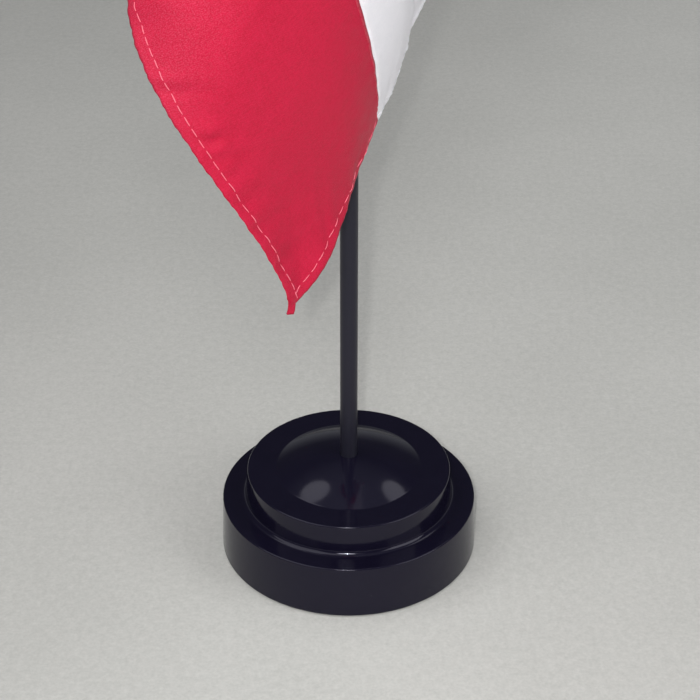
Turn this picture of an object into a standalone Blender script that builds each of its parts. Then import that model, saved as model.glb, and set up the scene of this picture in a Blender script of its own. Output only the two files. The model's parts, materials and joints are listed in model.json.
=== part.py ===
"""Desk flag stand: a two-tier weighted plastic base, a plastic pole with a
spear finial, and a small hemmed flag of three sewn bars on a hoist sleeve.

Units are metres, +Z up.  The origin is the centre of the base's underside,
and the pole's axis is the Z axis.
"""
import math

import bmesh
import bpy
from mathutils import Matrix, Vector

# ------------------------------------------------------------ dimensions
GAP = 0.0003                # clearance kept between neighbouring pieces

# base
BASE_R = 0.0360             # lower tier, at the table
TIER1_TOP_R = 0.0355        # lower tier, at its shoulder
TIER1_H = 0.0160            # shoulder height
TIER2_FOOT_R = 0.0289       # upper tier, at its foot
TIER2_TOP_R = 0.0284        # upper tier, at its rim
RIM_Z = 0.0248              # rim height
DOME_R = 0.0204             # where the shallow dome meets the flat rim
DOME_RISE = 0.0045          # dome apex above the rim
WALL = 0.0024               # moulded wall thickness
SHELL_FOOT_Z = 0.0004       # shell stands this far above the table
EDGE_ROUND = 0.0004         # moulded edge radius
FOOT_FILLET = 0.0011        # fillet between upper wall and shoulder
BOSS_R = 0.0052             # socket boss, outside
BOSS_FOOT_Z = 0.0062
SOCKET_R = 0.00246          # socket bore
SOCKET_FLOOR_Z = 0.0080
RIB_COUNT = 4
RIB_T = 0.0016
RIB_Z0 = 0.0088

# underside pad and ballast
PAD_R = 0.0328
PAD_T = 0.0018
BALLAST_R_OUT = 0.0318
BALLAST_R_IN = 0.0066
BALLAST_Z0 = PAD_T + GAP
BALLAST_T = 0.0060

# pole and finial
POLE_R = 0.0024
POLE_LEN = 0.305
POLE_Z0 = SOCKET_FLOOR_Z + GAP
POLE_Z1 = POLE_Z0 + POLE_LEN
FINIAL_GRIP = 0.0070        # how far the finial reaches down over the pole
FINIAL_H = 0.0300           # finial height above the pole's end

# flag
FLAG_LEN = 0.210
FLAG_H = 0.140
FLAG_Z0 = 0.166             # hoist's lower corner
BAR_1 = 0.0525              # hoist bar ends here
BAR_2 = 0.1575              # fly bar starts here
CLOTH_T = 0.0006
SLEEVE_IN = POLE_R + 0.00005
SLEEVE_OUT = 0.0031
THREAD_R = 0.00018
HEM = 0.0030                # stitch line, in from the cloth's edge
FLY_HEM = 0.0027

# The drape.  Each station is a distance along the flag from the hoist, and
# the millimetre positions there of its bottom edge, of the points one third
# and two thirds of the way up, and of its top edge.  The cloth leaves the
# pole to the back, turns round to the right and comes forward past the
# pole, so that its fly corner hangs front left.
STATIONS = [
    (0, (0, 3.9, 166), (0, 3.9, 212.7), (0, 3.9, 259.3), (0, 3.9, 306)),
    (28, (-12, 29, 166), (-8, 30, 212.5), (1.5, 31, 258), (16, 26.5, 302.5)),
    (51, (-10.5, 51, 164.5), (2, 49.5, 209.5), (19.5, 41.5, 252), (35.5, 25.5, 292.5)),
    (69, (2.5, 62.5, 161), (18.5, 50.5, 203), (31.5, 32, 243.5), (38.5, 11, 284)),
    (85, (17, 59.5, 155.5), (26, 38.5, 195.5), (30.5, 17.5, 236.5), (30, -1.5, 278.5)),
    (101, (21.5, 46, 148.5), (24.5, 24, 189), (23, 4.5, 230.5), (19.5, -12.5, 273.5)),
    (118, (16, 31.5, 142.5), (18, 9.5, 183), (15, -9.5, 224.5), (8.5, -25, 267.5)),
    (141, (11.5, 12, 135.5), (11, -11, 174), (4, -28, 216), (-5.5, -42, 259.5)),
    (157.5, (7, -1.5, 132), (4, -25.5, 167.5), (-5.5, -40, 209.5), (-16.5, -53, 252.5)),
    (184, (-1.5, -23.5, 114), (-11, -43.5, 155), (-24.5, -55.5, 197.5), (-40, -50.5, 240.5)),
    (210, (-14, -42.5, 102), (-30, -58, 143.5), (-48, -55.5, 185.5), (-44, -29.5, 225.5)),
]


# --------------------------------------------------------------- helpers
for ob in list(bpy.data.objects):
    bpy.data.objects.remove(ob, do_unlink=True)

parts = bpy.data.collections.new("desk_flag_stand")
cutters = bpy.data.collections.new("desk_flag_stand_cutters")
bpy.context.scene.collection.children.link(parts)
bpy.context.scene.collection.children.link(cutters)


def material(name, colour, roughness, metallic=0.0):
    mat = bpy.data.materials.new(name)
    mat.use_nodes = True
    bsdf = mat.node_tree.nodes["Principled BSDF"]
    bsdf.inputs["Base Color"].default_value = (*colour, 1.0)
    bsdf.inputs["Roughness"].default_value = roughness
    bsdf.inputs["Metallic"].default_value = metallic
    mat.diffuse_color = (*colour, 1.0)
    return mat


MAT_BASE = material("base_plastic", (0.012, 0.011, 0.016), 0.12)
MAT_PAD = material("pad_foam", (0.03, 0.03, 0.03), 0.9)
MAT_STEEL = material("ballast_steel", (0.5, 0.5, 0.5), 0.4, 1.0)
MAT_POLE = material("pole_plastic", (0.02, 0.02, 0.026), 0.35)
MAT_GOLD = material("finial_gold", (0.75, 0.55, 0.2), 0.3, 0.9)
MAT_RED = material("red_satin", (0.62, 0.02, 0.06), 0.45)
MAT_WHITE = material("white_satin", (0.78, 0.76, 0.82), 0.45)
MAT_THREAD = material("thread", (0.85, 0.6, 0.65), 0.7)


def add(name, mesh, mat, coll=parts):
    ob = bpy.data.objects.new(name, mesh)
    coll.objects.link(ob)
    if mat:
        mesh.materials.append(mat)
    return ob


def smooth(mesh, degrees=35):
    mesh.shade_smooth()
    mesh.set_sharp_from_angle(angle=math.radians(degrees))


def arc(cx, cz, r, a0, a1, n):
    """Points of an arc in the profile plane; angles in degrees from +X."""
    out = []
    for i in range(n + 1):
        a = math.radians(a0 + (a1 - a0) * i / n)
        out.append((cx + r * math.cos(a), cz + r * math.sin(a)))
    return out


def turned(name, profile, mat, steps=64, closed=False):
    """Revolve a profile of (radius, z) about Z with a Screw modifier."""
    mesh = bpy.data.meshes.new(name)
    bm = bmesh.new()
    verts = [bm.verts.new((r, 0.0, z)) for r, z in profile]
    for a, b in zip(verts, verts[1:]):
        bm.edges.new((a, b))
    if closed:
        bm.edges.new((verts[-1], verts[0]))
    bm.to_mesh(mesh)
    bm.free()
    ob = add(name, mesh, mat)
    mod = ob.modifiers.new("Turn", "SCREW")
    mod.axis = 'Z'
    mod.angle = 2 * math.pi
    mod.steps = steps
    mod.render_steps = steps
    mod.use_merge_vertices = True
    mod.merge_threshold = 0.00001
    mod.use_smooth_shade = True
    return ob


# ------------------------------------------------------------------ base
def dome_z(r):
    """Height of the dome above the rim plane: a spherical cap that meets
    the flat rim in a soft blend."""
    sphere = (DOME_R ** 2 + DOME_RISE ** 2) / (2 * DOME_RISE)
    return math.sqrt(sphere ** 2 - r ** 2) - (sphere - DOME_RISE)


def base_profile():
    e = EDGE_ROUND
    top = []
    for i in range(8):
        r = SOCKET_R + 0.0003 + (DOME_R - SOCKET_R - 0.0003) * i / 7
        top.append((r, RIM_Z + dome_z(r)))
    mouth_z = top[0][1]
    outer = [(0.0, SOCKET_FLOOR_Z), (SOCKET_R, SOCKET_FLOOR_Z),
             (SOCKET_R, mouth_z - 0.0003)]
    outer += top
    outer += [(DOME_R + 0.0012, RIM_Z)]
    outer += arc(TIER2_TOP_R - e, RIM_Z - e, e, 90, 0, 3)
    outer += arc(TIER2_FOOT_R + FOOT_FILLET, TIER1_H + FOOT_FILLET,
                 FOOT_FILLET, 180, 270, 5)
    outer += arc(TIER1_TOP_R - e, TIER1_H - e, e, 90, 0, 3)
    outer += [(BASE_R, SHELL_FOOT_Z + 0.0006)]
    outer += [(BASE_R - 0.0004, SHELL_FOOT_Z)]
    inner_r = BASE_R - WALL - 0.0004
    inner = [(inner_r, SHELL_FOOT_Z),
             (TIER1_TOP_R - WALL, TIER1_H - WALL),
             (TIER2_FOOT_R - WALL, TIER1_H - WALL),
             (TIER2_TOP_R - WALL, RIM_Z - WALL),
             (DOME_R, RIM_Z - WALL)]
    for i in range(1, 5):
        r = DOME_R + (BOSS_R + 0.0004 - DOME_R) * i / 4
        inner.append((r, RIM_Z - WALL + dome_z(r)))
    inner += [(BOSS_R, RIM_Z - WALL + dome_z(BOSS_R) - 0.0004),
              (BOSS_R, BOSS_FOOT_Z), (0.0, BOSS_FOOT_Z)]
    return outer + inner


base = turned("base_shell", base_profile(), MAT_BASE, steps=56)

# radial ribs between the socket boss and the upper wall, moulded in
bm = bmesh.new()
rib_in = BOSS_R - 0.0012
rib_out = TIER2_FOOT_R - WALL * 0.5
rib_top = RIM_Z - WALL * 0.5
for k in range(RIB_COUNT):
    ret = bmesh.ops.create_cube(bm, size=1.0)
    for v in ret["verts"]:
        v.co = Vector(((rib_in + rib_out) / 2 + v.co.x * (rib_out - rib_in),
                       v.co.y * RIB_T,
                       (RIB_Z0 + rib_top) / 2 + v.co.z * (rib_top - RIB_Z0)))
    bmesh.ops.rotate(bm, verts=ret["verts"], cent=(0, 0, 0),
                     matrix=Matrix.Rotation(math.radians(45 + 90 * k), 3, 'Z'))
rib_mesh = bpy.data.meshes.new("base_ribs")
bm.to_mesh(rib_mesh)
bm.free()
ribs = add("base_ribs_tool", rib_mesh, None, cutters)
ribs.hide_render = True
ribs.display_type = 'WIRE'
union = base.modifiers.new("Ribs", "BOOLEAN")
union.operation = 'UNION'
union.solver = 'EXACT'
union.object = ribs

# foam pad under the base, its underside is what the stand rests on
turned("base_pad",
       [(0.0, PAD_T), (PAD_R - 0.0003, PAD_T), (PAD_R, PAD_T - 0.0003),
        (PAD_R, 0.0003), (PAD_R - 0.0003, 0.0), (0.0, 0.0)],
       MAT_PAD, steps=56)

# steel ballast ring round the socket boss
z0, z1 = BALLAST_Z0, BALLAST_Z0 + BALLAST_T
turned("ballast_ring",
       [(BALLAST_R_IN, z1), (BALLAST_R_OUT - 0.0006, z1),
        (BALLAST_R_OUT, z1 - 0.0006), (BALLAST_R_OUT, z0 + 0.0006),
        (BALLAST_R_OUT - 0.0006, z0), (BALLAST_R_IN, z0)],
       MAT_STEEL, steps=56, closed=True)

# ------------------------------------------------------- pole and finial
c = 0.0004
turned("pole",
       [(0.0, POLE_Z1), (POLE_R - c, POLE_Z1), (POLE_R, POLE_Z1 - c),
        (POLE_R, POLE_Z0 + c), (POLE_R - c, POLE_Z0), (0.0, POLE_Z0)],
       MAT_POLE, steps=32)


def finial_profile():
    """Collar that grips the pole, a bead, and a leaf-shaped spear."""
    bore = POLE_R + GAP * 0.4
    z = POLE_Z1
    pts = [(0.0, z + FINIAL_H), (0.0004, z + FINIAL_H - 0.0004)]
    n = 12
    for i in range(1, n):
        f = i / n
        h = FINIAL_H - 0.0004 - f * (FINIAL_H - 0.0075)
        w = 0.0004 + 0.0062 * math.sin(math.pi * f ** 0.8) ** 0.9
        if f > 0.9:
            w = max(w, 0.0019)
        pts.append((w, z + h))
    pts += [(0.0018, z + 0.0068), (0.0024, z + 0.0062)]
    pts += arc(0.0026, z + 0.0048, 0.0012, 80, -80, 5)
    pts += [(0.0028, z + 0.0034), (0.0030, z + 0.0028),
            (0.0037, z + 0.0010), (0.0037, z - FINIAL_GRIP + 0.0016),
            (0.0041, z - FINIAL_GRIP + 0.0012),
            (0.0041, z - FINIAL_GRIP + 0.0003),
            (0.0038, z - FINIAL_GRIP),
            (bore, z - FINIAL_GRIP), (bore, z + GAP), (0.0, z + GAP)]
    return pts


finial = turned("spear_finial", finial_profile(), MAT_GOLD, steps=24)
# the spear is moulded flat: thin it front to back above the bead
mesh = bpy.data.meshes.new_from_object(
    finial.evaluated_get(bpy.context.evaluated_depsgraph_get()))
for v in mesh.vertices:
    f = min(max((v.co.z - POLE_Z1 - 0.0070) / 0.0040, 0.0), 1.0)
    v.co.y *= 1.0 - 0.62 * f * f * (3 - 2 * f)
bpy.data.objects.remove(finial, do_unlink=True)
mesh.name = "spear_finial_blade"
finial = add("spear_finial", mesh, None)
smooth(mesh, 40)


# ------------------------------------------------------------------ flag
def station_curve(column, s):
    """Smooth curve through the stations' points of one row, in metres."""
    keys = [k[0] for k in STATIONS]
    pts = [Vector(k[1 + column]) for k in STATIONS]
    n = len(keys)
    s = min(max(s, keys[0]), keys[-1])
    i = 0
    while i < n - 2 and s > keys[i + 1]:
        i += 1

    def slope(j):
        if j == 0:
            return (pts[1] - pts[0]) / (keys[1] - keys[0])
        if j == n - 1:
            return (pts[-1] - pts[-2]) / (keys[-1] - keys[-2])
        a, b = keys[j] - keys[j - 1], keys[j + 1] - keys[j]
        return ((pts[j + 1] - pts[j]) / b * a
                + (pts[j] - pts[j - 1]) / a * b) / (a + b)

    h = keys[i + 1] - keys[i]
    u = (s - keys[i]) / h
    m0, m1 = slope(i) * h, slope(i + 1) * h
    p = (pts[i] * (2 * u ** 3 - 3 * u ** 2 + 1) + m0 * (u ** 3 - 2 * u ** 2 + u)
         + pts[i + 1] * (3 * u ** 2 - 2 * u ** 3) + m1 * (u ** 3 - u ** 2))
    return p / 1000.0


def cloth(s, t):
    """Point of the draped cloth at s along the flag and t up from its
    bottom edge, both in metres of flat cloth."""
    v = 3.0 * t / FLAG_H
    p = Vector((0.0, 0.0, 0.0))
    for a in range(4):
        w = 1.0
        for b in range(4):
            if b != a:
                w *= (v - b) / (a - b)
        p += station_curve(a, s * 1000.0) * w
    return p


def cloth_normal(s, t):
    d = 0.001
    s0, s1 = max(s - d, 0.0), min(s + d, FLAG_LEN)
    t0, t1 = max(t - d, 0.0), min(t + d, FLAG_H)
    du = cloth(s1, t) - cloth(s0, t)
    dv = cloth(s, t1) - cloth(s, t0)
    return du.cross(dv).normalized()


def panel(name, s0, s1, mat, n_s, n_t=16):
    """One bar of the flag: an open curved sheet given its thickness."""
    mesh = bpy.data.meshes.new(name)
    bm = bmesh.new()
    bmesh.ops.create_grid(bm, x_segments=n_s, y_segments=n_t, size=0.5)
    for v in bm.verts:
        v.co = cloth(s0 + (v.co.x + 0.5) * (s1 - s0),
                     (v.co.y + 0.5) * FLAG_H)
    bm.to_mesh(mesh)
    bm.free()
    ob = add(name, mesh, mat)
    mod = ob.modifiers.new("Cloth", "SOLIDIFY")
    mod.thickness = CLOTH_T
    mod.offset = 0.0
    mod.use_even_offset = True
    mesh.shade_smooth()
    return ob


panel("hoist_bar_red", 0.0, BAR_1 - GAP, MAT_RED, 12)
panel("centre_bar_white", BAR_1 + GAP, BAR_2 - GAP, MAT_WHITE, 24)
panel("fly_bar_red", BAR_2 + GAP, FLAG_LEN, MAT_RED, 12)

# sleeve of doubled cloth round the pole
turned("hoist_sleeve",
       [(SLEEVE_IN, FLAG_Z0 + FLAG_H), (SLEEVE_OUT, FLAG_Z0 + FLAG_H),
        (SLEEVE_OUT, FLAG_Z0), (SLEEVE_IN, FLAG_Z0)],
       MAT_RED, steps=28, closed=True)


def thread(name, ends, n):
    """A row of stitching, one strand along a straight line of the flat
    cloth, lying on its outer side."""
    (s0, t0), (s1, t1) = ends
    curve = bpy.data.curves.new(name, 'CURVE')
    curve.dimensions = '3D'
    curve.bevel_depth = THREAD_R
    curve.bevel_resolution = 0
    curve.use_fill_caps = True
    sp = curve.splines.new('POLY')
    sp.points.add(n)
    off = CLOTH_T / 2 + GAP + THREAD_R
    for i in range(n + 1):
        f = i / n
        s, t = s0 + (s1 - s0) * f, t0 + (t1 - t0) * f
        p = cloth(s, t) + cloth_normal(s, t) * off * SIDE
        sp.points[i].co = (*p, 1.0)
    ob = bpy.data.objects.new(name, curve)
    parts.objects.link(ob)
    curve.materials.append(MAT_THREAD)
    return ob


SIDE = -1.0                 # outer side of the cloth, seen from the front
END = HEM + 0.0006          # the rows stop short of where they would cross
thread("fly_hem_stitch", ((FLAG_LEN - FLY_HEM, 0.0012),
                          (FLAG_LEN - FLY_HEM, FLAG_H - 0.0012)), 34)
thread("bottom_hem_stitch", ((0.003, HEM), (FLAG_LEN - FLY_HEM - 0.0012, HEM)), 60)
thread("top_hem_stitch", ((0.003, FLAG_H - HEM),
                          (FLAG_LEN - FLY_HEM - 0.0012, FLAG_H - HEM)), 60)
thread("sleeve_stitch", ((0.0015, 0.0012), (0.0015, FLAG_H - 0.0012)), 30)
thread("hoist_seam_stitch", ((BAR_1 + 0.0016, HEM + 0.0012),
                             (BAR_1 + 0.0016, FLAG_H - HEM - 0.0012)), 34)
thread("fly_seam_stitch", ((BAR_2 - 0.0016, HEM + 0.0012),
                           (BAR_2 - 0.0016, FLAG_H - HEM - 0.0012)), 34)
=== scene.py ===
"""Desk flag stand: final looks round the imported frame."""
import json
import math

import bmesh
import bpy
from mathutils import Matrix, Vector


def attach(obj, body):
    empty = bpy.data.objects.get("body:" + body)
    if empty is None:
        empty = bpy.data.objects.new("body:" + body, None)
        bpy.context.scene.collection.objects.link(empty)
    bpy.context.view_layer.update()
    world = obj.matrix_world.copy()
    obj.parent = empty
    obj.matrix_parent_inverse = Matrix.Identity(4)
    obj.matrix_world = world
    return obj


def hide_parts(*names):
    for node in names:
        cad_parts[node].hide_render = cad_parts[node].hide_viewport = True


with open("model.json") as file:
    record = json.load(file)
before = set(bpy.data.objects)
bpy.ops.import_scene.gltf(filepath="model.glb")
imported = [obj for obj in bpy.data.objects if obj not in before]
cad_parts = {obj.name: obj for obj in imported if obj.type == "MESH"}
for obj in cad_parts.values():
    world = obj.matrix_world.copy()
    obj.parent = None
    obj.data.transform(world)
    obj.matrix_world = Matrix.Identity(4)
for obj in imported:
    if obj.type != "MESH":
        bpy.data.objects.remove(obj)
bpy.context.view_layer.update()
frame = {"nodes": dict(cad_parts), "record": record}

MM = 0.001
rec = frame["record"]
nodes = frame["nodes"]

# ---------------------------------------------------------------- camera
LENS_PX = 2000.0            # focal length in pixels of the 700-pixel frame
ELEV = math.radians(32.39)
ROLL = math.radians(0.1)
DIST = 0.5407
TARGET = Vector((0.0003, 0.0, 0.06333))

cam_data = bpy.data.cameras.new("camera")
cam = bpy.data.objects.new("camera", cam_data)
bpy.context.scene.collection.objects.link(cam)
cam_data.sensor_width = 36.0
cam_data.lens = LENS_PX / 700.0 * 36.0
cam_data.clip_start = 0.01
cam_data.clip_end = 50.0
back = Vector((0.0, -math.cos(ELEV), math.sin(ELEV)))
cam.location = TARGET + back * DIST
c, s = math.cos(ROLL), math.sin(ROLL)
right = Vector((1, 0, 0))
up = Vector((0, math.sin(ELEV), math.cos(ELEV)))
r2 = c * right + s * up
u2 = -s * right + c * up
cam.rotation_mode = 'QUATERNION'
cam.rotation_quaternion = Matrix((r2, u2, back)).transposed().to_quaternion()
bpy.context.scene.camera = cam


# ------------------------------------------------------------- materials
class Nodes:
    """Small helper that builds a node tree."""

    def __init__(self, name):
        self.mat = bpy.data.materials.new(name)
        self.mat.use_nodes = True
        self.nt = self.mat.node_tree
        self.bsdf = self.nt.nodes["Principled BSDF"]
        self.out = self.nt.nodes["Material Output"]

    def add(self, kind, **props):
        n = self.nt.nodes.new(kind)
        for k, v in props.items():
            setattr(n, k, v)
        return n

    def link(self, a, b):
        self.nt.links.new(a, b)

    def put(self, node, socket, value):
        if hasattr(value, "node"):
            self.link(value, node.inputs[socket])
        else:
            node.inputs[socket].default_value = value

    def coords(self, kind="Object"):
        return self.add("ShaderNodeTexCoord").outputs[kind]

    def mapping(self, vec, scale=(1, 1, 1), loc=(0, 0, 0), rot=(0, 0, 0)):
        m = self.add("ShaderNodeMapping")
        self.link(vec, m.inputs["Vector"])
        m.inputs["Scale"].default_value = scale
        m.inputs["Location"].default_value = loc
        m.inputs["Rotation"].default_value = rot
        return m.outputs["Vector"]

    def noise(self, vec, scale, detail=2.0, rough=0.5, distortion=0.0):
        n = self.add("ShaderNodeTexNoise")
        self.link(vec, n.inputs["Vector"])
        n.inputs["Scale"].default_value = scale
        n.inputs["Detail"].default_value = detail
        n.inputs["Roughness"].default_value = rough
        n.inputs["Distortion"].default_value = distortion
        return n.outputs["Fac"]

    def voronoi(self, vec, scale, feature='F1'):
        n = self.add("ShaderNodeTexVoronoi", feature=feature)
        self.link(vec, n.inputs["Vector"])
        n.inputs["Scale"].default_value = scale
        return n

    def wave(self, vec, scale, axis='X', distortion=0.0, dscale=1.0, profile='SIN'):
        n = self.add("ShaderNodeTexWave", wave_type='BANDS', bands_direction=axis,
                     wave_profile=profile)
        self.link(vec, n.inputs["Vector"])
        n.inputs["Scale"].default_value = scale
        n.inputs["Distortion"].default_value = distortion
        n.inputs["Detail Scale"].default_value = dscale
        return n.outputs["Fac"]

    def ramp(self, fac, *stops):
        n = self.add("ShaderNodeMapRange")
        self.link(fac, n.inputs["Value"])
        a, b, c0, d = stops
        n.inputs["From Min"].default_value = a
        n.inputs["From Max"].default_value = b
        n.inputs["To Min"].default_value = c0
        n.inputs["To Max"].default_value = d
        return n.outputs["Result"]

    def math(self, op, a, b=0.0, clamp=False):
        n = self.add("ShaderNodeMath", operation=op, use_clamp=clamp)
        self.put(n, 0, a)
        self.put(n, 1, b)
        return n.outputs[0]

    def mix(self, fac, a, b):
        n = self.add("ShaderNodeMix", data_type='RGBA')
        self.put(n, 0, fac)
        self.put(n, 6, a)
        self.put(n, 7, b)
        return n.outputs[2]

    def bump(self, height, strength, distance, normal=None):
        n = self.add("ShaderNodeBump")
        self.link(height, n.inputs["Height"])
        n.inputs["Strength"].default_value = strength
        n.inputs["Distance"].default_value = distance
        if normal is not None:
            self.link(normal, n.inputs["Normal"])
        return n.outputs["Normal"]


def base_plastic():
    """Polished black moulding, slightly blue, with fine hairline scratches,
    a faint flow mottle and a little dust."""
    m = Nodes("base_plastic_gloss")
    co = m.coords()
    mott = m.noise(co, 260.0, 4.0, 0.6)
    fine = m.noise(co, 3200.0, 2.0, 0.5)
    dust_v = m.voronoi(co, 420.0)
    dust = m.math('LESS_THAN', dust_v.outputs["Distance"], 0.035)
    sel = m.math('GREATER_THAN', m.noise(co, 90.0, 1.0), 0.60)
    dust = m.math('MULTIPLY', dust, sel)
    col = m.mix(mott, (0.0046, 0.0038, 0.0112, 1), (0.0068, 0.0058, 0.0150, 1))
    col = m.mix(m.math('MULTIPLY', dust, 0.5), col, (0.20, 0.20, 0.20, 1))
    m.link(col, m.bsdf.inputs["Base Color"])
    # hairlines run round the base
    scr = m.mapping(co, scale=(60, 60, 900))
    hair = m.noise(scr, 6.0, 3.0, 0.7)
    hair = m.ramp(hair, 0.60, 0.72, 0.0, 1.0)
    r = m.math('ADD', m.ramp(mott, 0.3, 0.7, 0.085, 0.13), m.math('MULTIPLY', hair, 0.05))
    r = m.math('ADD', r, m.math('MULTIPLY', dust, 0.4))
    m.link(r, m.bsdf.inputs["Roughness"])
    m.bsdf.inputs["IOR"].default_value = 1.38
    m.bsdf.inputs["Specular Tint"].default_value = (0.88, 0.86, 1.0, 1)
    n1 = m.bump(mott, 0.05, 0.00006)
    n2 = m.bump(fine, 0.04, 0.00001, n1)
    m.link(n2, m.bsdf.inputs["Normal"])
    return m.mat


def pole_plastic():
    m = Nodes("pole_plastic_satin")
    co = m.coords()
    st = m.mapping(co, scale=(1, 1, 0.02))
    streak = m.noise(st, 2600.0, 3.0, 0.6)
    mott = m.noise(co, 500.0, 3.0, 0.6)
    col = m.mix(mott, (0.0095, 0.0092, 0.0165, 1), (0.0135, 0.0130, 0.0215, 1))
    m.link(col, m.bsdf.inputs["Base Color"])
    r = m.math('ADD', m.ramp(streak, 0.3, 0.7, 0.30, 0.40), m.ramp(mott, 0.3, 0.7, -0.02, 0.03))
    m.link(r, m.bsdf.inputs["Roughness"])
    m.bsdf.inputs["IOR"].default_value = 1.42
    m.bsdf.inputs["Specular Tint"].default_value = (0.90, 0.88, 1.0, 1)
    n1 = m.bump(streak, 0.25, 0.00002)
    m.link(m.bump(mott, 0.1, 0.00002, n1), m.bsdf.inputs["Normal"])
    return m.mat


def gold_plastic():
    m = Nodes("finial_gold_metallised")
    co = m.coords()
    mott = m.noise(co, 400.0, 3.0, 0.6)
    fine = m.noise(co, 2500.0, 2.0, 0.5)
    col = m.mix(mott, (0.78, 0.52, 0.16, 1), (0.86, 0.62, 0.24, 1))
    m.link(col, m.bsdf.inputs["Base Color"])
    m.bsdf.inputs["Metallic"].default_value = 0.95
    m.link(m.ramp(mott, 0.3, 0.7, 0.20, 0.30), m.bsdf.inputs["Roughness"])
    m.link(m.bump(fine, 0.08, 0.00002), m.bsdf.inputs["Normal"])
    return m.mat


def foam():
    m = Nodes("pad_foam_fine")
    co = m.coords()
    cells = m.voronoi(co, 2200.0)
    mott = m.noise(co, 300.0, 3.0)
    col = m.mix(mott, (0.016, 0.016, 0.017, 1), (0.032, 0.032, 0.034, 1))
    m.link(col, m.bsdf.inputs["Base Color"])
    m.bsdf.inputs["Roughness"].default_value = 0.92
    m.link(m.bump(cells.outputs["Distance"], 0.6, 0.00012), m.bsdf.inputs["Normal"])
    return m.mat


def steel():
    m = Nodes("ballast_steel_plain")
    co = m.coords()
    mott = m.noise(co, 200.0, 4.0, 0.6)
    col = m.mix(mott, (0.26, 0.26, 0.27, 1), (0.40, 0.39, 0.38, 1))
    m.link(col, m.bsdf.inputs["Base Color"])
    m.bsdf.inputs["Metallic"].default_value = 1.0
    m.link(m.ramp(mott, 0.3, 0.7, 0.35, 0.55), m.bsdf.inputs["Roughness"])
    return m.mat


def paint(node, mat):
    ob = nodes[node]
    ob.data.materials.clear()
    ob.data.materials.append(mat)


def mesh_object(name, bm, mats, smooth_angle=None):
    mesh = bpy.data.meshes.new(name)
    bmesh.ops.recalc_face_normals(bm, faces=bm.faces)
    bm.to_mesh(mesh)
    bm.free()
    for m in mats:
        mesh.materials.append(m)
    mesh.shade_smooth()
    if smooth_angle:
        mesh.set_sharp_from_angle(angle=math.radians(smooth_angle))
    ob = bpy.data.objects.new(name, mesh)
    bpy.context.scene.collection.objects.link(ob)
    return ob


def arc(cx, cz, r, a0, a1, n):
    return [(cx + r * math.cos(math.radians(a0 + (a1 - a0) * k / n)),
             cz + r * math.sin(math.radians(a0 + (a1 - a0) * k / n)))
            for k in range(n + 1)]


def turned(name, profile, mat, steps, closed=False, angle=40):
    """Fine revolved mesh from a profile of (radius, z)."""
    bm = bmesh.new()
    rings = []
    for r, z in profile:
        if r < 1e-7:
            rings.append([bm.verts.new((0.0, 0.0, z))])
        else:
            rings.append([bm.verts.new((r * math.cos(2 * math.pi * k / steps),
                                        r * math.sin(2 * math.pi * k / steps), z))
                          for k in range(steps)])
    pairs = list(zip(rings, rings[1:]))
    if closed:
        pairs.append((rings[-1], rings[0]))
    for a, b in pairs:
        for k in range(steps):
            k2 = (k + 1) % steps
            if len(a) == 1 and len(b) == 1:
                continue
            if len(a) == 1:
                bm.faces.new((a[0], b[k], b[k2]))
            elif len(b) == 1:
                bm.faces.new((a[k], b[0], a[k2]))
            else:
                bm.faces.new((a[k], b[k], b[k2], a[k2]))
    return mesh_object(name, bm, [mat], angle)


def stand_piece(ob, body, node):
    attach(ob, body)
    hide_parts(node)
    return ob


# ------------------------------------------------------------------ base
BASE_R, TIER1_TOP_R, TIER1_H = 0.0360, 0.0355, 0.0160
TIER2_FOOT_R, TIER2_TOP_R, RIM_Z = 0.0289, 0.0284, 0.0248
DOME_R, DOME_RISE, WALL = 0.0204, 0.0045, 0.0024
SHELL_FOOT_Z, EDGE, FILLET = 0.0004, 0.0004, 0.0015
BOSS_R, BOSS_FOOT_Z, SOCKET_R, SOCKET_FLOOR_Z = 0.0052, 0.0062, 0.00246, 0.0080
POLE_R, POLE_Z0, POLE_Z1 = 0.0024, 0.0083, 0.3133


def dome_z(r):
    sphere = (DOME_R ** 2 + DOME_RISE ** 2) / (2 * DOME_RISE)
    return math.sqrt(sphere ** 2 - r ** 2) - (sphere - DOME_RISE)


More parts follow.
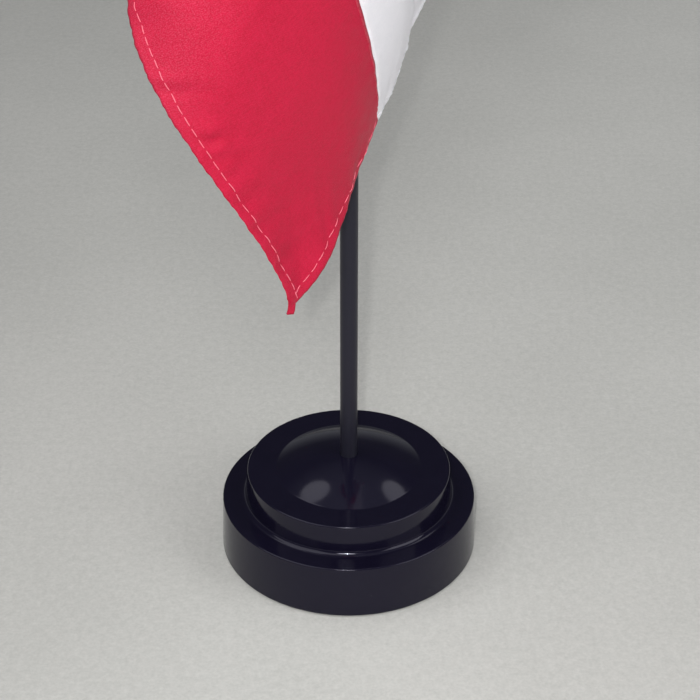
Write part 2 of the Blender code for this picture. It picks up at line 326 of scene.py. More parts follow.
def base_profile():
    """The moulding's section: bore, dome with a soft foot, flat rim, the
    two tiers with rounded edges and a fillet, then the inside."""
    r0 = SOCKET_R + 0.00004
    p = [(0.0, SOCKET_FLOOR_Z), (SOCKET_R, SOCKET_FLOOR_Z),
         (SOCKET_R, RIM_Z + dome_z(r0) - 0.00008)]
    for i in range(25):
        r = r0 + (DOME_R - 0.0003 - r0) * i / 24
        p.append((r, RIM_Z + dome_z(r)))
    p += [(DOME_R - 0.0001, RIM_Z + dome_z(DOME_R - 0.0001)),
          (DOME_R + 0.0001, RIM_Z), (DOME_R + 0.0004, RIM_Z)]
    p += [(DOME_R + (TIER2_TOP_R - EDGE - DOME_R) * k / 3, RIM_Z) for k in (1, 2)]
    p.append((TIER2_TOP_R - EDGE - 0.00015, RIM_Z))
    p += arc(TIER2_TOP_R - EDGE, RIM_Z - EDGE, EDGE, 90, 0, 8)
    p.append((TIER2_TOP_R + 0.00001, RIM_Z - EDGE - 0.00015))
    p.append((TIER2_FOOT_R - 0.00002, TIER1_H + FILLET + 0.0002))
    p += arc(TIER2_FOOT_R + FILLET, TIER1_H + FILLET, FILLET, 180, 270, 10)
    p.append((TIER2_FOOT_R + FILLET + 0.0002, TIER1_H))
    p.append((TIER1_TOP_R - EDGE - 0.00015, TIER1_H))
    p += arc(TIER1_TOP_R - EDGE, TIER1_H - EDGE, EDGE, 90, 0, 8)
    p.append((TIER1_TOP_R + 0.00001, TIER1_H - EDGE - 0.00015))
    p += [(BASE_R - 0.00001, SHELL_FOOT_Z + 0.0008)]
    p += arc(BASE_R - 0.0004, SHELL_FOOT_Z + 0.0004, 0.0004, 0, -90, 5)
    p += [(BASE_R - WALL - 0.0004, SHELL_FOOT_Z),
          (TIER1_TOP_R - WALL, TIER1_H - WALL),
          (TIER2_FOOT_R - WALL, TIER1_H - WALL),
          (TIER2_TOP_R - WALL, RIM_Z - WALL), (DOME_R, RIM_Z - WALL)]
    for i in range(1, 9):
        r = DOME_R + (BOSS_R + 0.0004 - DOME_R) * i / 8
        p.append((r, RIM_Z - WALL + dome_z(r)))
    p += [(BOSS_R, RIM_Z - WALL + dome_z(BOSS_R) - 0.0004),
          (BOSS_R, BOSS_FOOT_Z), (0.0, BOSS_FOOT_Z)]
    return p


BASE_MAT = base_plastic()
stand_piece(turned("base_moulding", base_profile(), BASE_MAT, 240, angle=35),
            "base", "base_shell")

PAD_R, PAD_T = 0.0328, 0.0018
pad = turned("underside_foam",
             [(0.0, PAD_T), (PAD_R * 0.5, PAD_T), (PAD_R - 0.0004, PAD_T)]
             + arc(PAD_R - 0.0003, PAD_T - 0.0003, 0.0003, 90, 0, 4)
             + arc(PAD_R - 0.0003, 0.0003, 0.0003, 0, -90, 4)
             + [(PAD_R - 0.0004, 0.0), (PAD_R * 0.5, 0.0), (0.0, 0.0)],
             foam(), 160)
stand_piece(pad, "base", "base_pad")

b0, b1 = PAD_T + 0.0003, PAD_T + 0.0063
stand_piece(turned("ballast_washer",
                   [(0.0066, b1), (0.0312, b1)]
                   + arc(0.0312, b1 - 0.0006, 0.0006, 90, 0, 4)
                   + arc(0.0312, b0 + 0.0006, 0.0006, 0, -90, 4)
                   + [(0.0312, b0), (0.0066, b0)],
                   steel(), 160, closed=True),
            "base", "ballast_ring")

# ------------------------------------------------------- pole and finial
c0 = 0.0004
stand_piece(turned("pole_rod",
                   [(0.0, POLE_Z1), (POLE_R - c0, POLE_Z1)]
                   + arc(POLE_R - c0, POLE_Z1 - c0, c0, 90, 0, 4)
                   + [(POLE_R, POLE_Z0 + (POLE_Z1 - POLE_Z0) * k / 30) for k in range(29, 0, -1)]
                   + arc(POLE_R - c0, POLE_Z0 + c0, c0, 0, -90, 4)
                   + [(0.0, POLE_Z0)],
                   pole_plastic(), 72),
            "staff", "pole")


def finial_profile():
    bore = POLE_R + 0.00012
    z = POLE_Z1
    pts = [(0.0, z + 0.030), (0.00025, z + 0.02985), (0.0004, z + 0.0296)]
    n = 40
    for i in range(1, n):
        f = i / n
        h = 0.0296 - f * (0.030 - 0.0075)
        w = 0.0004 + 0.0062 * math.sin(math.pi * f ** 0.8) ** 0.9
        if f > 0.9:
            w = max(w, 0.0019)
        pts.append((w, z + h))
    pts += [(0.0018, z + 0.0068), (0.0021, z + 0.0064)]
    pts += arc(0.0026, z + 0.0048, 0.0012, 80, -80, 12)
    pts += [(0.0028, z + 0.0034), (0.0030, z + 0.0028), (0.0034, z + 0.0018),
            (0.0037, z + 0.0008), (0.0037, z - 0.0030), (0.0037, z - 0.0054),
            (0.0041, z - 0.0058), (0.0041, z - 0.0067),
            (0.0038, z - 0.0070), (bore, z - 0.0070), (bore, z + 0.0003),
            (0.0, z + 0.0003)]
    return pts


fin = turned("spear_top", finial_profile(), gold_plastic(), 96, angle=45)
for v in fin.data.vertices:
    f = min(max((v.co.z - POLE_Z1 - 0.0070) / 0.0040, 0.0), 1.0)
    v.co.y *= 1.0 - 0.62 * f * f * (3 - 2 * f)
    if f > 0.0:                 # a raised midrib down the blade
        v.co.y *= 1.0 + 0.35 * f * math.exp(-(v.co.x / 0.0011) ** 2)
stand_piece(fin, "staff", "spear_finial")


# ------------------------------------------------------------------ flag
FLAG_LEN, FLAG_H = 0.210, 0.140
BAR_1, BAR_2 = 0.0525, 0.1575
HEM_FOLD = 0.0036           # cloth turned back behind each hem
HEM_LINE = 0.0027           # stitching, in from the edge
SEW = 0.0033                # pitch of the stitches
CLOTH_T = 0.00022
SIDE = -1.0                 # outer side of the cloth

# The drape, following the CAD model's but with more stations: distances
# along the flag, and in millimetres the places there of five points evenly
# spaced from its bottom edge to its top edge.
STATIONS = [
    (0, (0, 3.9, 166), (0, 3.9, 201), (0, 3.9, 236), (0, 3.9, 271), (0, 3.9, 306)),
    (28, (-12, 29, 166), (-9.5, 29.5, 201), (-4, 31, 235.5), (5, 30.5, 269.5),
     (16.5, 26, 302.5)),
    (51, (-10.5, 51, 165), (-1.5, 50.5, 198.5), (11, 46.5, 231), (24, 38, 262.5),
     (36, 25.5, 293)),
    (69, (3, 62.5, 161), (15, 53.5, 193), (26, 41.5, 223.5), (34, 26.5, 253.5),
     (39, 10.5, 284)),
    (85, (17, 58.5, 155.5), (24, 43, 185.5), (28.5, 27.5, 216), (30.5, 12, 247),
     (30, -2, 279)),
    (101, (20.5, 45, 148.5), (23.5, 28.5, 179), (24, 13.5, 210), (22, -0.5, 241.5),
     (19.5, -13, 274)),
    (118, (16, 30, 143), (18, 13.5, 173.5), (17, -1.5, 204), (13, -14, 236),
     (7.5, -25, 268.5)),
    (141, (11, 9, 136.5), (12, -8, 166), (7, -21.5, 196.5), (-1.5, -30.5, 228),
     (-11.5, -36, 261)),
    (157.5, (7, -6, 134.5), (5.5, -22.5, 160.5), (-1.5, -35, 190), (-13, -41, 222),
     (-26, -41.5, 254)),
    (171, (2, -17, 125.5), (-1, -33, 154.5), (-10, -45, 185), (-22.5, -49.5, 217),
     (-38, -42, 246.5)),
    (184, (-1.5, -27.5, 118), (-9.5, -41, 148.5), (-19, -53, 179.5),
     (-33, -54.5, 210.5), (-45, -36.5, 236.5)),
    (197, (-6, -39, 111.5), (-18.5, -48.5, 142.5), (-30, -58.5, 173.5),
     (-43, -53, 202.5), (-41.5, -30.5, 225)),
    (210, (-14, -47.5, 105), (-26.5, -57, 138), (-43, -58.5, 168.5),
     (-47, -47.5, 192), (-30, -29, 219)),
]


def station_curve(column, s):
    keys = [k[0] for k in STATIONS]
    pts = [Vector(k[1 + column]) for k in STATIONS]
    n = len(keys)
    s = min(max(s, keys[0]), keys[-1])
    i = 0
    while i < n - 2 and s > keys[i + 1]:
        i += 1

    def slope(j):
        if j == 0:
            return (pts[1] - pts[0]) / (keys[1] - keys[0])
        if j == n - 1:
            return (pts[-1] - pts[-2]) / (keys[-1] - keys[-2])
        a, b = keys[j] - keys[j - 1], keys[j + 1] - keys[j]
        return ((pts[j + 1] - pts[j]) / b * a
                + (pts[j] - pts[j - 1]) / a * b) / (a + b)

    h = keys[i + 1] - keys[i]
    u = (s - keys[i]) / h
    m0, m1 = slope(i) * h, slope(i + 1) * h
    p = (pts[i] * (2 * u ** 3 - 3 * u ** 2 + 1) + m0 * (u ** 3 - 2 * u ** 2 + u)
         + pts[i + 1] * (3 * u ** 2 - 2 * u ** 3) + m1 * (u ** 3 - u ** 2))
    return p / 1000.0


ROWS = 5


def row_weights(t):
    """Weights of the five rows at a height t."""
    v = (ROWS - 1) * t / FLAG_H
    out = []
    for a in range(ROWS):
        w = 1.0
        for b in range(ROWS):
            if b != a:
                w *= (v - b) / (a - b)
        out.append(w)
    return out


GRID = 0.002
NS, NT = int(round(FLAG_LEN / GRID)), int(round(FLAG_H / GRID))


def drape_grid():
    rows_w = [row_weights(j * GRID) for j in range(NT + 1)]
    out = []
    for i in range(NS + 1):
        cs = [station_curve(a, i * GRID * 1000.0) for a in range(ROWS)]
        out.append([sum((c * k for c, k in zip(cs, w)), Vector((0.0, 0.0, 0.0)))
                    for w in rows_w])
    return out


def settle(grid, frames=30):
    """Lets the cloth hang: Blender's cloth, pinned along the hoist, held firmly at the fly hem, at the bottom
    hem beyond 100 mm from the hoist, by the fly seam and over the fly bar, and softly elsewhere, with gravity
    and the pole as an obstacle."""
    mesh = bpy.data.meshes.new("cloth_work")
    nj = NT + 1
    verts = [p for col in grid for p in col]
    faces = [(i * nj + j, (i + 1) * nj + j, (i + 1) * nj + j + 1, i * nj + j + 1)
             for i in range(NS) for j in range(NT)]
    mesh.from_pydata([tuple(v) for v in verts], [], faces)
    ob = bpy.data.objects.new("cloth_work", mesh)
    bpy.context.scene.collection.objects.link(ob)
    pins = ob.vertex_groups.new(name="held")
    for i in range(NS + 1):
        for j in range(nj):
            s, t = i * GRID, j * GRID
            if s <= 0.0021:
                w = 1.0
            else:
                e = min(FLAG_LEN - s, t if s > 0.100 else 1.0, abs(s - BAR_2) * 1.5)
                soft = min(max((s - 0.110) / 0.040, 0.0), 1.0)
                soft = 0.17 + 0.58 * soft * soft * (3 - 2 * soft)
                w = soft + (0.90 - soft) * math.exp(-(e / 0.006) ** 2)
            pins.add([i * nj + j], w, 'REPLACE')
    mod = ob.modifiers.new("Cloth", 'CLOTH')
    st = mod.settings
    st.quality = 6
    st.mass = 0.15
    st.air_damping = 2.0
    st.tension_stiffness = 15.0
    st.compression_stiffness = 15.0
    st.shear_stiffness = 9.0
    st.bending_stiffness = 0.8
    st.tension_damping = 8.0
    st.compression_damping = 8.0
    st.shear_damping = 8.0
    st.bending_damping = 0.6
    st.vertex_group_mass = "held"
    st.pin_stiffness = 0.6
    mod.collision_settings.use_self_collision = False
    bm = bmesh.new()
    bmesh.ops.create_cone(bm, cap_ends=True, segments=24, radius1=0.0033, radius2=0.0033, depth=0.34)
    pm = bpy.data.meshes.new("pole_work")
    bm.to_mesh(pm)
    bm.free()
    post = bpy.data.objects.new("pole_work", pm)
    post.location.z = 0.17
    bpy.context.scene.collection.objects.link(post)
    cm = post.modifiers.new("Collision", 'COLLISION')
    post.collision.thickness_outer = 0.0005
    post.collision.thickness_inner = 0.002
    mod.collision_settings.use_collision = True
    mod.collision_settings.distance_min = 0.0006
    mod.collision_settings.collision_quality = 3
    scene = bpy.context.scene
    mod.point_cache.frame_start = 1
    mod.point_cache.frame_end = frames + 1
    for f in range(1, frames + 1):
        scene.frame_set(f)
    ev = ob.evaluated_get(bpy.context.evaluated_depsgraph_get())
    co = [v.co.copy() for v in ev.data.vertices]
    bpy.data.objects.remove(ob, do_unlink=True)
    bpy.data.objects.remove(post, do_unlink=True)
    return [[co[i * nj + j] for j in range(nj)] for i in range(NS + 1)]


cloth = drape_grid()
cloth = settle(cloth)


def kernel(u):
    """Catmull-Rom weights for a position u between two grid lines."""
    u2, u3 = u * u, u * u * u
    return (-0.5 * u3 + u2 - 0.5 * u, 1.5 * u3 - 2.5 * u2 + 1.0,
            -1.5 * u3 + 2.0 * u2 + 0.5 * u, 0.5 * u3 - 0.5 * u2)


def at(i, j):
    """Grid point, carried on in a straight line past the cloth's edges."""
    ci, cj = min(max(i, 0), NS), min(max(j, 0), NT)
    p = cloth[ci][cj]
    if ci != i:
        q = cloth[1 if i < 0 else NS - 1][cj]
        p = p + (p - q) * abs(i - ci)
    if cj != j:
        q = cloth[ci][1 if j < 0 else NT - 1]
        p = p + (p - q) * abs(j - cj)
    return p


def smooth_point(s, t):
    fs, ft = s / GRID, t / GRID
    i, j = int(math.floor(fs)), int(math.floor(ft))
    i, j = min(max(i, 0), NS - 1), min(max(j, 0), NT - 1)
    ws, wt = kernel(fs - i), kernel(ft - j)
    p = Vector((0.0, 0.0, 0.0))
    for a in range(4):
        q = (at(i - 1 + a, j - 1) * wt[0] + at(i - 1 + a, j) * wt[1]
             + at(i - 1 + a, j + 1) * wt[2] + at(i - 1 + a, j + 2) * wt[3])
        p += q * ws[a]
    return p


def frame_at(s, t, d=0.0008):
    du = smooth_point(min(s + d, FLAG_LEN), t) - smooth_point(max(s - d, 0.0), t)
    dv = smooth_point(s, min(t + d, FLAG_H)) - smooth_point(s, max(t - d, 0.0))
    du.normalize()
    n = du.cross(dv).normalized()
    return du, n.cross(du), n


def bell(x, w):
    return math.exp(-(x / w) ** 2)


def ripple(x, seed, waves):
    """Sum of a few irregular waves, about -1 to 1."""
    tot = 0.0
    for k, (length, amp) in enumerate(waves):
        tot += amp * math.sin(2 * math.pi * x / length + seed * (k + 1.7) * 2.3
                              + 0.8 * math.sin(2 * math.pi * x / (length * 3.7) + seed))
    return tot


def relief(s, t):
    """How far the cloth stands off its smooth drape, outwards: hems, seams and the puckers beside them."""
    e_fly, e_bot, e_top = FLAG_LEN - s, t, FLAG_H - t
    off = 0.0
    # hems: doubled cloth stands a little proud; the thread sinks into it
    for e, run, seed in ((e_fly, t, 0.7), (e_bot, s, 2.1), (e_top, s, 4.4)):
        if e > 0.022:
            continue
        off += 0.00010 * (1.0 - min(max((e - 0.0033) / 0.0006, 0.0), 1.0))
        stitch = 0.5 + 0.5 * math.cos(2 * math.pi * run / SEW)
        off -= 0.00013 * bell(e - HEM_LINE, 0.0006) * (0.5 + 0.5 * stitch)
        off += 0.00010 * bell(e, 0.0016) * ripple(run, seed, ((SEW, 0.8), (SEW * 2.6, 0.6)))
        # puckers that die away into the cloth
        fade = math.exp(-max(e - HEM_LINE, 0.0) / 0.0060) * min(e / HEM_LINE, 1.0)
        off += 0.00040 * fade * ripple(run + 0.35 * e, seed, ((0.0105, 0.55), (0.0067, 0.35), (0.0173, 0.5)))
    # a soft crease from the fly edge up into the fly bar, and small puckers by the hem
    if e_fly < 0.070:
        d = (s - 0.1845) * 0.72 + (t - 0.0780) * 0.69
        soft = math.sqrt(d * d + 0.0035 ** 2) - 0.0035
        off -= 0.11 * soft * bell(d, 0.014) * min(max((t - 0.030) / 0.02, 0.0), 1.0)
        for cs_, ct_, w_, h_ in ((0.2042, 0.0540, 0.0022, 0.00080), (0.2040, 0.0510, 0.0016, -0.00045),
                                 (0.2042, 0.0485, 0.0020, 0.00070), (0.2044, 0.0437, 0.0018, 0.00060)):
            off += h_ * math.exp(-((s - cs_) ** 2 + (t - ct_) ** 2) / w_ ** 2)
    # broad, shallow unevenness of hanging cloth
    calm = 1.0 - 0.80 * min(max((s - BAR_2 + 0.030) / 0.02, 0.0), 1.0)
    off += 0.00020 * calm * (math.sin(s * 150.0 + 2.0 * math.sin(t * 47.0)) * math.sin(t * 95.0 + 1.3 * math.sin(s * 61.0)))
    # seams between the bars
    for line, seed in ((BAR_1, 5.2), (BAR_2, 1.3)):
        e = s - line
        if abs(e) < 0.016:
            off -= 0.00016 * bell(e, 0.00045)
            off += 0.00006 * bell(e - 0.0016, 0.0008) + 0.00006 * bell(e + 0.0016, 0.0008)
            off += 0.00013 * math.exp(-abs(e) / 0.0050) * ripple(t, seed, ((0.0088, 0.6), (0.0142, 0.5)))
    return off


def edge_draw(s, t):
    """In-plane scallops of the sewn edges: (along the flag, up it)."""
    a = -0.00013 * bell(FLAG_LEN - s, 0.0015) * (ripple(t, 0.3, ((SEW, 0.8), (SEW * 3.3, 0.7))) + 0.6)
    b = 0.00013 * bell(t, 0.0015) * (ripple(s, 1.9, ((SEW, 0.8), (SEW * 3.1, 0.7))) + 0.6)
    c = -0.00013 * bell(FLAG_H - t, 0.0015) * (ripple(s, 3.1, ((SEW, 0.8), (SEW * 2.9, 0.7))) + 0.6)
    return a, b + c


def cloth_point(s, t, lift=0.0):
    """A point of the finished cloth. lift is further out from its outer
    side."""
    s, t = min(max(s, 0.0), FLAG_LEN), min(max(t, 0.0), FLAG_H)
    du, dv, n = frame_at(s, t)
    a, b = edge_draw(s, t)
    return (smooth_point(s, t) + du * a + dv * b
            + n * SIDE * (relief(s, t) + lift))


def satin(name, light, dark, sheen_tint, sheen, painted_highlight_weight, painted_highlight_colour):
    """Satin polyester: float threads give a fine ribbed weave along the
    cloth (UV in metres of flat cloth), a soft sheen and mottled gloss."""
    m = Nodes(name)
    uv = m.coords("UV")
    warp = m.wave(uv, 1.0 / 0.00034, 'X')
    weft = m.wave(uv, 1.0 / 0.00046, 'Y')
    tw = m.mapping(uv, rot=(0, 0, math.radians(38)))
    twill = m.wave(tw, 1.0 / 0.0012, 'X')
    slub = m.noise(m.mapping(uv, scale=(260, 2400, 1)), 1.0, 3.0, 0.6)
    slub2 = m.noise(m.mapping(uv, scale=(2600, 420, 1)), 1.0, 3.0, 0.6)
    mott = m.noise(uv, 240.0, 5.0, 0.65)
    grain = m.noise(uv, 1250.0, 3.0, 0.7)
    weave = m.math('ADD', m.math('MULTIPLY', warp, 0.45), m.math('MULTIPLY', weft, 0.35))
    weave = m.math('ADD', weave, m.math('MULTIPLY', twill, 0.20))
    f = m.math('ADD', m.math('MULTIPLY', weave, 0.35), m.math('MULTIPLY', slub, 0.20))
    f = m.math('ADD', f, m.math('MULTIPLY', slub2, 0.20))
    f = m.math('ADD', f, m.math('MULTIPLY', mott, 0.25))
    f = m.math('ADD', f, m.math('MULTIPLY', grain, 0.35))
    f = m.ramp(f, 0.50, 0.78, 0.0, 1.0)
    col = m.mix(f, dark, light)
    # painted highlight: light specks mixed into the colour stand in for short floats that catch the light
    painted_highlight_specks = m.math('MULTIPLY', m.ramp(m.noise(uv, 2900.0, 2.0, 0.7), 0.44, 0.70, 0.0, 1.0), painted_highlight_weight)
    # painted sheen: more of these painted highlight specks above the fly bar's crease, a lighter, pinker band
    # standing in for light falling on that side of the cloth
    xyz = m.add("ShaderNodeSeparateXYZ")
    m.link(uv, xyz.inputs[0])
    d = m.math('ADD', m.math('MULTIPLY', m.math('SUBTRACT', xyz.outputs[0], 0.1845), 0.72),
               m.math('MULTIPLY', m.math('SUBTRACT', xyz.outputs[1], 0.0780), 0.69))
    painted_highlight_specks = m.math('MULTIPLY', painted_highlight_specks, m.ramp(d, -0.004, 0.010, 0.35, 1.0))
    col = m.mix(painted_highlight_specks, col, painted_highlight_colour)
    m.link(col, m.bsdf.inputs["Base Color"])
    m.link(m.ramp(mott, 0.3, 0.7, 0.36, 0.50), m.bsdf.inputs["Roughness"])
    m.bsdf.inputs["Sheen Weight"].default_value = sheen
    m.bsdf.inputs["Sheen Roughness"].default_value = 0.4
    m.bsdf.inputs["Sheen Tint"].default_value = sheen_tint
    m.bsdf.inputs["Specular IOR Level"].default_value = 0.13
    n1 = m.bump(weave, 0.6, 0.00006)
    n2 = m.bump(slub, 0.5, 0.00008, n1)
    n2 = m.bump(mott, 0.35, 0.00020, n2)
    m.link(n2, m.bsdf.inputs["Normal"])
    return m.mat


def thread_material(name, light, dark):
    """Twisted sewing thread: fine spiral plies (UV: along, round)."""
    m = Nodes(name)
    uv = m.coords("UV")
    tw = m.mapping(uv, rot=(0, 0, math.radians(35)))
    ply = m.wave(tw, 1.0 / 0.00045, 'X')
    fuzz = m.noise(uv, 2200.0, 2.0, 0.6)
    col = m.mix(m.math('ADD', m.math('MULTIPLY', ply, 0.6), m.math('MULTIPLY', fuzz, 0.4)), dark, light)
    m.link(col, m.bsdf.inputs["Base Color"])
    m.link(m.ramp(fuzz, 0.3, 0.7, 0.45, 0.60), m.bsdf.inputs["Roughness"])
    m.bsdf.inputs["Sheen Weight"].default_value = 0.2
    m.link(m.bump(ply, 0.6, 0.00004), m.bsdf.inputs["Normal"])
    return m.mat


# the last two arguments of each satin are the weight and colour of its painted highlight specks
RED = satin("satin_red", (0.61, 0.012, 0.056, 1), (0.43, 0.004, 0.024, 1), (1.0, 0.20, 0.36, 1), 0.02, 0.125,
            (1.0, 0.42, 0.60, 1))
WHITE = satin("satin_white", (0.97, 0.95, 0.99, 1), (0.88, 0.865, 0.92, 1), (1.0, 1.0, 1.0, 1), 0.1, 0.04,
              (1.0, 1.0, 1.0, 1))
PINK_THREAD = thread_material("thread_pale_red", (0.95, 0.24, 0.32, 1), (0.78, 0.13, 0.20, 1))
RED_THREAD = thread_material("thread_red", (0.72, 0.040, 0.100, 1), (0.50, 0.015, 0.045, 1))
WHITE_THREAD = thread_material("thread_white", (0.88, 0.87, 0.90, 1), (0.70, 0.69, 0.73, 1))


def steps_between(a, b, step):
    n = max(int(round((b - a) / step)), 1)
    return [a + (b - a) * k / n for k in range(n + 1)]


FOLD_STEPS = [0.0036, 0.0030, 0.0024, 0.0018, 0.0012, 0.0007, 0.00035, 0.00015]


def bar(name, s0, s1, mat, replaced, fly=False):
    """One bar of the flag with its turned-back hems, in one mesh: the
    cloth carries on round its edge and lies behind itself."""
    fine = 0.001
    ts = ([-k for k in FOLD_STEPS] + [0.0] + [0.0004]
          + steps_between(0.001, FLAG_H - 0.001, fine)
          + [FLAG_H - 0.0004, FLAG_H] + [FLAG_H + k for k in reversed(FOLD_STEPS)])
    ss = steps_between(s0, s1 - (0.001 if fly else 0.0), fine)
    if fly:
        ss += [s1 - 0.0004, s1] + [s1 + k for k in reversed(FOLD_STEPS)]
    bm = bmesh.new()
    uvl = bm.loops.layers.uv.new("flat")
    flat, grid = {}, []
    for s in ss:
        row = []
        fs = min(s, 2 * s1 - s) if fly else s
        back_s = max(s - s1, 0.0) if fly else 0.0
        for t in ts:
            ft, back_t = t, 0.0
            if t < 0.0:
                ft, back_t = -t, -t
            elif t > FLAG_H:
                ft, back_t = 2 * FLAG_H - t, t - FLAG_H
            lift = 0.0
            if back_t > 0.0:
                lift -= 0.00036 * min(back_t / 0.0007, 1.0) ** 0.6
            if back_s > 0.0:
                lift -= (0.00036 + (0.00040 if back_t > 0.0 or ft < HEM_FOLD
                                    or ft > FLAG_H - HEM_FOLD else 0.0)) \
                    * min(back_s / 0.0007, 1.0) ** 0.6
            v = bm.verts.new(cloth_point(fs, ft, lift))
            flat[v] = (s, t)
            row.append(v)
        grid.append(row)
    for a, b in zip(grid, grid[1:]):
        for j in range(len(ts) - 1):
            bm.faces.new((a[j], b[j], b[j + 1], a[j + 1]))
    for fc in bm.faces:
        for lp in fc.loops:
            lp[uvl].uv = flat[lp.vert]
    ob = mesh_object(name, bm, [mat])
    mod = ob.modifiers.new("Thickness", 'SOLIDIFY')
    mod.thickness = CLOTH_T
    mod.offset = 0.0
    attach(ob, "flag")
    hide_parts(replaced)
    return ob


def stitches(name, ends, mat, replaced, under=True):
    """A lockstitch row: short strands of thread that come up through the
    cloth, lie along it and go down again, on both its sides."""
    (s0, t0), (s1, t1) = ends
    length = math.hypot(s1 - s0, t1 - t0)
    n = int(length / SEW)
    bm = bmesh.new()
    uvl = bm.loops.layers.uv.new("thread")
    rad, sides, rings = 0.000115, 8, 9
    for side in ((1.0, -1.0) if under else (1.0,)):
        for k in range(n):
            a = (k * SEW + 0.00012 + (SEW * 0.5 if side < 0 else 0.0))
            b = a + SEW - 0.00024
            if b > length:
                break
            ring_list, alongs = [], []
            mid_s = s0 + (s1 - s0) * (a + b) / 2 / length
            white = abs(s1 - s0) > 0.1 and BAR_1 < mid_s < BAR_2
            wob = 0.00006 * math.sin(k * 2.39)
            for r in range(rings):
                f = r / (rings - 1)
                x = (a + (b - a) * f) / length
                s, t = s0 + (s1 - s0) * x, t0 + (t1 - t0) * x
                du, dv, nn = frame_at(s, t)
                along = (du * (s1 - s0) + dv * (t1 - t0)).normalized()
                out = nn * SIDE * side
                cross = along.cross(out)
                arch = math.sin(math.pi * f) ** 0.30
                lift = -0.00010 + (0.00011 + rad + 0.00008) * arch
                depth = lift if side > 0 else lift + 0.00040
                p = cloth_point(s, t) + out * depth + cross * wob * math.sin(math.pi * f)
                rr = rad * (0.55 + 0.45 * arch)
                ring_list.append([bm.verts.new(p + (cross * math.cos(2 * math.pi * q / sides)
                                                    + out * math.sin(2 * math.pi * q / sides)) * rr)
                                  for q in range(sides)])
                alongs.append(a + (b - a) * f)
            for r in range(rings - 1):
                for q in range(sides):
                    q2 = (q + 1) % sides
                    fc = bm.faces.new((ring_list[r][q], ring_list[r + 1][q],
                                       ring_list[r + 1][q2], ring_list[r][q2]))
                    fc.material_index = 1 if white else 0
                    us = (alongs[r], alongs[r + 1], alongs[r + 1], alongs[r])
                    vs = (q, q, q + 1, q + 1)
                    for lp, u, vv in zip(fc.loops, us, vs):
                        lp[uvl].uv = (u, vv * 2 * math.pi * rad / sides)
            for cap in (list(reversed(ring_list[0])), ring_list[-1]):
                bm.faces.new(cap).material_index = 1 if white else 0
    ob = mesh_object(name, bm, [mat, WHITE_THREAD])
    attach(ob, "flag")
    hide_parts(replaced)
    return ob


H = HEM_LINE
fly_row = stitches("fly_hem_sewing", ((FLAG_LEN - H, 0.0006), (FLAG_LEN - H, FLAG_H - 0.0006)),
                   PINK_THREAD, "fly_hem_stitch")
bottom_row = stitches("bottom_hem_sewing", ((0.003, H), (FLAG_LEN - 0.0006, H)),
                      PINK_THREAD, "bottom_hem_stitch")
top_row = stitches("top_hem_sewing", ((0.003, FLAG_H - H), (FLAG_LEN - 0.0006, FLAG_H - H)),
                   PINK_THREAD, "top_hem_stitch")
sleeve_row = stitches("sleeve_sewing", ((0.0020, 0.0012), (0.0020, FLAG_H - 0.0012)),
                      PINK_THREAD, "sleeve_stitch")
seam_row_1 = stitches("hoist_seam_sewing", ((BAR_1 - 0.0014, H + 0.001), (BAR_1 - 0.0014, FLAG_H - H - 0.001)),
                      RED_THREAD, "hoist_seam_stitch")
seam_row_2 = stitches("fly_seam_sewing", ((BAR_2 + 0.0012, H + 0.001), (BAR_2 + 0.0012, FLAG_H - H - 0.001)),
                      RED_THREAD, "fly_seam_stitch")


def corner_tail():
    """The folded end of the hems, sticking out at the fly's lower corner."""
    bm = bmesh.new()
    uvl = bm.loops.layers.uv.new("flat")
    base_p = cloth_point(FLAG_LEN - 0.0011, 0.0011, -0.0003)
    du, dv, n = frame_at(FLAG_LEN - 0.0012, 0.0012)
    out = (du - dv).normalized()
    down = (out * 0.8 + Vector((-0.10, 0.0, -0.35))).normalized()
    side = (du + dv).normalized()
    flat, grid = {}, []
    for i in range(7):
        f = i / 6
        row = []
        for j in range(6):
            g = j / 5 - 0.5
            w = 0.0023 * (1.0 - 0.18 * f)
            p = (base_p + down * 0.0030 * f + side * g * w
                 + n * SIDE * (0.0003 * math.sin(2.2 * f) - 0.0005 * f * g))
            v = bm.verts.new(p)
            flat[v] = (f * 0.0030, g * w)
            row.append(v)
        grid.append(row)
    for a, b in zip(grid, grid[1:]):
        for j in range(5):
            fc = bm.faces.new((a[j], b[j], b[j + 1], a[j + 1]))
            for lp in fc.loops:
                lp[uvl].uv = flat[lp.vert]
    ob = mesh_object("hem_corner_tail", bm, [RED])
    mod = ob.modifiers.new("Thickness", 'SOLIDIFY')
    mod.thickness = 0.00045
    mod.offset = 0.0
    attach(ob, "flag")
    return ob


tail = corner_tail()
bar("flag_hoist_bar", 0.0, BAR_1, RED, "hoist_bar_red")
bar("flag_centre_bar", BAR_1, BAR_2, WHITE, "centre_bar_white")
bar("flag_fly_bar", BAR_2, FLAG_LEN, RED, "fly_bar_red", fly=True)


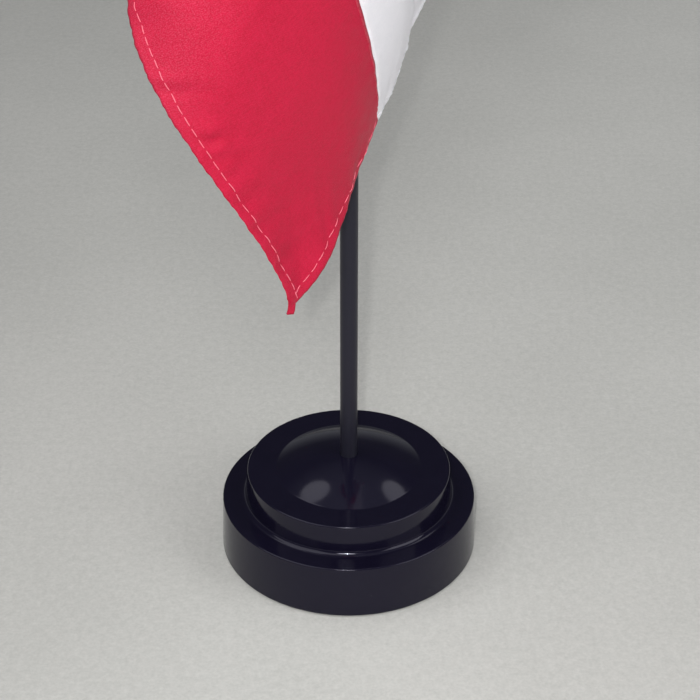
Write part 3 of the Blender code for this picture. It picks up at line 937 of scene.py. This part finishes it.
def sleeve():
    """Cloth folded round the pole, its two ends sewn to the hoist bar."""
    bm = bmesh.new()
    uvl = bm.loops.layers.uv.new("flat")
    r_in = POLE_R + 0.00035
    n_t, n_a = 120, 40
    grid, flat = [], {}
    for j in range(n_t + 1):
        t = FLAG_H * j / n_t
        z = 0.166 + t
        tip = cloth_point(0.0034, t)
        tip_dir = Vector((tip.x, tip.y, 0.0))
        ang0 = math.atan2(tip_dir.y, tip_dir.x)
        reach = tip_dir.length
        n = frame_at(0.003, t)[2]
        row = []
        for i in range(n_a + 1):
            f = i / n_a                       # once round, tip to tip
            g = min(f, 1.0 - f)
            if g < 0.16:                      # the two tails beside the bar
                u = g / 0.16
                sgn = 1.0 if f < 0.5 else -1.0
                side_v = Vector((-math.sin(ang0), math.cos(ang0), 0.0)) * sgn
                ang = ang0 + sgn * math.radians(38) * u
                on = Vector((math.cos(ang), math.sin(ang), 0.0)) * (r_in + 0.0002 * u)
                tail_p = tip_dir + side_v * 0.00034
                w = u * u * (3 - 2 * u)
                p = tail_p.lerp(on, w)
            else:
                ang = ang0 + math.radians(38) + math.radians(284) * (f - 0.16) / 0.68
                wr = 0.00010 * ripple(z + 0.004 * math.sin(ang), ang * 0.9,
                                      ((0.011, 0.6), (0.0058, 0.4)))
                p = Vector((math.cos(ang), math.sin(ang), 0.0)) * (r_in + 0.0001 + max(wr, -0.0002))
            v = bm.verts.new((p.x, p.y, tip.z * max(0.0, 1 - g / 0.16) + z * min(1.0, g / 0.16)))
            flat[v] = (f * 0.024, t)
            row.append(v)
        grid.append(row)
    for a, b in zip(grid, grid[1:]):
        for i in range(n_a):
            fc = bm.faces.new((a[i], a[i + 1], b[i + 1], b[i]))
            for lp in fc.loops:
                lp[uvl].uv = flat[lp.vert]
    ob = mesh_object("hoist_sleeve_cloth", bm, [RED])
    mod = ob.modifiers.new("Thickness", 'SOLIDIFY')
    mod.thickness = CLOTH_T
    mod.offset = 0.0
    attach(ob, "flag")
    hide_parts("hoist_sleeve")
    return ob


sleeve()


# ------------------------------------------------------ floor and lights
def floor_material():
    """Pale matt table: fine grain, faint mottle, and painted shade that darkens it slowly towards the back."""
    m = Nodes("floor_pale")
    co = m.coords()
    mott = m.noise(co, 9.0, 4.0, 0.6)
    fine = m.noise(co, 420.0, 3.0, 0.6)
    grit = m.noise(co, 1100.0, 2.0, 0.6)
    f = m.math('ADD', m.math('MULTIPLY', mott, 0.30), m.math('MULTIPLY', fine, 0.35))
    f = m.math('ADD', f, m.math('MULTIPLY', grit, 0.35))
    f = m.ramp(f, 0.40, 0.62, 0.0, 1.0)
    col = m.mix(f, (0.505, 0.503, 0.475, 1), (0.605, 0.598, 0.568, 1))
    # painted shade: a little greyer towards the back left, where the light falls off
    xyz = m.add("ShaderNodeSeparateXYZ")
    m.link(co, xyz.inputs[0])
    side = m.math('SUBTRACT', m.math('MULTIPLY', xyz.outputs[1], 0.20),
                  m.math('MULTIPLY', xyz.outputs[0], 0.60))
    col = m.mix(m.ramp(side, 0.0, 0.25, 0.0, 0.25), col, (0.0, 0.0, 0.0, 1))
    m.link(col, m.bsdf.inputs["Base Color"])
    m.bsdf.inputs["Roughness"].default_value = 0.75
    m.link(m.bump(fine, 0.15, 0.0002), m.bsdf.inputs["Normal"])
    return m.mat


bm = bmesh.new()
bmesh.ops.create_grid(bm, x_segments=1, y_segments=1, size=3.0)
floor = mesh_object("floor", bm, [floor_material()])
floor.location.z = -0.0001


def area(name, loc, aim, size, power, colour=(1, 1, 1), size_y=None):
    d = bpy.data.lights.new(name, 'AREA')
    d.shape = 'ELLIPSE' if name.startswith('top') else 'RECTANGLE'
    d.size = size
    d.size_y = size_y or size
    d.energy = power
    d.color = colour
    ob = bpy.data.objects.new(name, d)
    bpy.context.scene.collection.objects.link(ob)
    ob.location = loc
    ob.rotation_mode = 'QUATERNION'
    ob.rotation_quaternion = (Vector(aim) - Vector(loc)).to_track_quat('-Z', 'Y')
    return ob


# a soft key from the left, fills from the right and front, two dim panels
# behind and overhead that the dome mirrors, and a small light by the lens
area("key", (-0.80, -0.50, 1.25), (0, 0, 0.1), 1.4, 9.5)
area("fill_right", (0.95, -0.50, 0.70), (0, 0, 0.20), 0.8, 5.5)
area("front", (-0.05, -1.00, 0.85), (0, 0, 0.12), 0.30, 4.8)
area("top_back_left", (-0.35, 0.36, 0.95), (-0.35, 0.32, 0.0), 0.33, 0.46, size_y=0.34)
area("top_back_right", (0.49, 0.42, 0.95), (0.49, 0.38, 0.0), 0.30, 0.48, size_y=0.38)
lens_side = cam.location - r2 * 0.016 + u2 * 0.004
area("lens_light", lens_side, (0, 0, 0.08), 0.010, 1.0)

world = bpy.data.worlds.new("studio")
bpy.context.scene.world = world
world.use_nodes = True
wt = world.node_tree
bg = wt.nodes["Background"]
wco = wt.nodes.new("ShaderNodeTexCoord")
sep = wt.nodes.new("ShaderNodeSeparateXYZ")
wt.links.new(wco.outputs["Generated"], sep.inputs[0])
rmp = wt.nodes.new("ShaderNodeValToRGB")
wt.links.new(sep.outputs["Z"], rmp.inputs["Fac"])
stops = ((0.0, 0.34), (0.12, 0.26), (0.30, 0.07), (0.66, 0.07), (0.88, 0.30), (1.0, 0.42))
els = rmp.color_ramp.elements
while len(els) < len(stops):
    els.new(0.5)
for el, (pos, val) in zip(els, stops):
    el.position = pos
    el.color = (val, val, val, 1.0)
wt.links.new(rmp.outputs["Color"], bg.inputs["Strength"])
bg.inputs["Color"].default_value = (0.86, 0.89, 0.94, 1)

bpy.context.scene.view_settings.view_transform = 'Standard'
